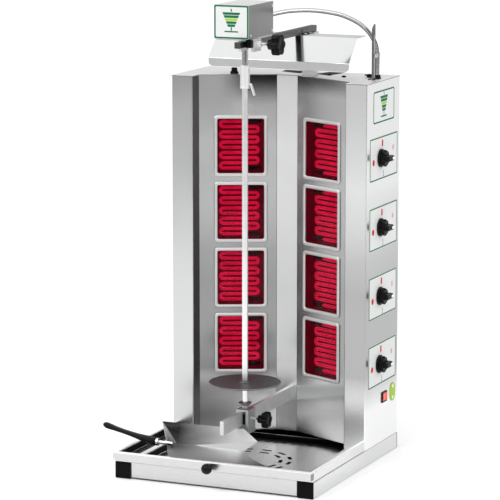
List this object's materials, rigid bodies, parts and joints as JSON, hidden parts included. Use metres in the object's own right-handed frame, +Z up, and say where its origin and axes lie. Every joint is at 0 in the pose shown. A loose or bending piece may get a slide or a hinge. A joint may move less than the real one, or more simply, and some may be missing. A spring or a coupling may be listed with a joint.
{
  "type": "vertical rotisserie oven",
  "caption": "Electric vertical rotisserie oven: upright motor-driven spit on sliding clamps before two angled banks of glowing heaters, with drip pan and meat scoop.",
  "frame": {"origin": "middle of the underside of the base plate, on the surface that the appliance stands on", "axes": "+X to the right seen from the front, +Y to the back, +Z up"},
  "size_m": [0.6115, 0.614, 1.127],
  "materials": {
    "stainless": "fine brushed",
    "polished_steel": "polished",
    "black_plastic": "fine moulded",
    "glowing_tube": "red-hot oxide",
    "heater_glass": "clear ceramic glass",
    "motor_paint": "satin enamel",
    "orange_plastic": "glossy, lit"
  },
  "bodies": {
    "root": {"base_rail_left": "stainless", "base_rail_right": "stainless", "rail_cap_left": "black_plastic", "rail_cap_right": "black_plastic", "bottom_plate": "stainless", "side_panel_left": "stainless", "side_panel_right": "stainless", "rear_panel": "stainless", "top_cover": "stainless", "centre_strip": "stainless", "cable_inlet": "black_plastic", "heater_panel_left": "stainless", "heater_panel_right": "stainless", "glass_left": "heater_glass", "glass_right": "heater_glass", "reflector_left": "polished_steel", "reflector_right": "polished_steel", "bezel_left_1": "polished_steel", "heating_tube_left_1": "glowing_tube", "bezel_left_2": "polished_steel", "heating_tube_left_2": "glowing_tube", "bezel_left_3": "polished_steel", "heating_tube_left_3": "glowing_tube", "bezel_left_4": "polished_steel", "heating_tube_left_4": "glowing_tube", "bezel_right_1": "polished_steel", "heating_tube_right_1": "glowing_tube", "bezel_right_2": "polished_steel", "heating_tube_right_2": "glowing_tube", "bezel_right_3": "polished_steel", "heating_tube_right_3": "glowing_tube", "bezel_right_4": "polished_steel", "heating_tube_right_4": "glowing_tube", "upper_bar": "stainless", "upper_bar_post": "stainless", "heat_hood": "stainless", "hood_bracket": "stainless", "conduit_stake": "stainless", "conduit": "polished_steel", "lower_bar": "stainless"},
    "motor_carriage": {"motor_cover": "stainless", "gearmotor": "motor_paint", "upper_clamp": "stainless"},
    "motor_shaft": {"drive_shaft": "stainless"},
    "upper_knob": {"upper_clamp_knob": "black_plastic"},
    "bearing_carriage": {"lower_clamp": "stainless"},
    "lower_knob": {"lower_clamp_knob": "black_plastic"},
    "spit": {"spit_rod": "polished_steel", "meat_plate": "polished_steel"},
    "sleeve": {"coupling_sleeve": "polished_steel"},
    "rocker": {"rocker_switch": "orange_plastic"},
    "pan": {"drip_pan": "stainless", "front_apron": "stainless", "pan_knob": "black_plastic"},
    "meat_scoop": {"scoop": "stainless", "scoop_handle": "black_plastic"},
    "selector_1": {"selector_knob_1": "black_plastic"},
    "selector_2": {"selector_knob_2": "black_plastic"},
    "selector_3": {"selector_knob_3": "black_plastic"},
    "selector_4": {"selector_knob_4": "black_plastic"}
  },
  "joints": [
    {"name": "spit_position", "type": "slide", "parent": "root", "child": "motor_carriage", "axis": [0, 1, 0], "range_m": [-0.018, 0.09], "deforming": ["conduit"]},
    {"name": "bearing_position", "type": "slide", "parent": "root", "child": "bearing_carriage", "axis": [0, 1, 0], "range_m": [-0.018, 0.09]},
    {"name": "spit_spin", "type": "hinge", "parent": "bearing_carriage", "child": "spit", "pos_m": [0.002, -0.095, 0.161], "axis": [0, 0, 1], "continuous": true},
    {"name": "shaft_spin", "type": "hinge", "parent": "motor_carriage", "child": "motor_shaft", "pos_m": [0.002, -0.095, 1], "axis": [0, 0, 1], "continuous": true},
    {"name": "sleeve_lift", "type": "slide", "parent": "spit", "child": "sleeve", "axis": [0, 0, 1], "range_m": [0, 0.036]},
    {"name": "upper_clamp_turn", "type": "hinge", "parent": "motor_carriage", "child": "upper_knob", "pos_m": [0.09, -0.141, 1.036], "axis": [1, 0, 0], "range_deg": [0, 360]},
    {"name": "lower_clamp_turn", "type": "hinge", "parent": "bearing_carriage", "child": "lower_knob", "pos_m": [0.05, -0.101, 0.132], "axis": [1, 0, 0], "range_deg": [0, 360]},
    {"name": "pan_slide", "type": "slide", "parent": "root", "child": "pan", "axis": [0, -1, 0], "range_m": [0, 0.28]},
    {"name": "scoop_lift_off", "type": "slide", "parent": "pan", "child": "meat_scoop", "axis": [-1, 0, 0], "range_m": [0, 0.42]},
    {"name": "rocker_tilt", "type": "hinge", "parent": "root", "child": "rocker", "pos_m": [0.2525, 0.1745, 0.149], "axis": [0, 1, 0], "range_deg": [-10, 10]},
    {"name": "selector_turn_1", "type": "hinge", "parent": "root", "child": "selector_1", "pos_m": [0.2565, 0.136, 0.744], "axis": [1, 0, 0], "range_deg": [-300, 0]},
    {"name": "selector_turn_2", "type": "hinge", "parent": "root", "child": "selector_2", "pos_m": [0.2565, 0.136, 0.5755], "axis": [1, 0, 0], "range_deg": [-300, 0]},
    {"name": "selector_turn_3", "type": "hinge", "parent": "root", "child": "selector_3", "pos_m": [0.2565, 0.136, 0.407], "axis": [1, 0, 0], "range_deg": [-300, 0]},
    {"name": "selector_turn_4", "type": "hinge", "parent": "root", "child": "selector_4", "pos_m": [0.2565, 0.136, 0.2385], "axis": [1, 0, 0], "range_deg": [-300, 0]}
  ],
  "couplings": [
    {"joint": "bearing_position", "follows": "spit_position", "ratio": 1},
    {"joint": "shaft_spin", "follows": "spit_spin", "ratio": 1}
  ]
}
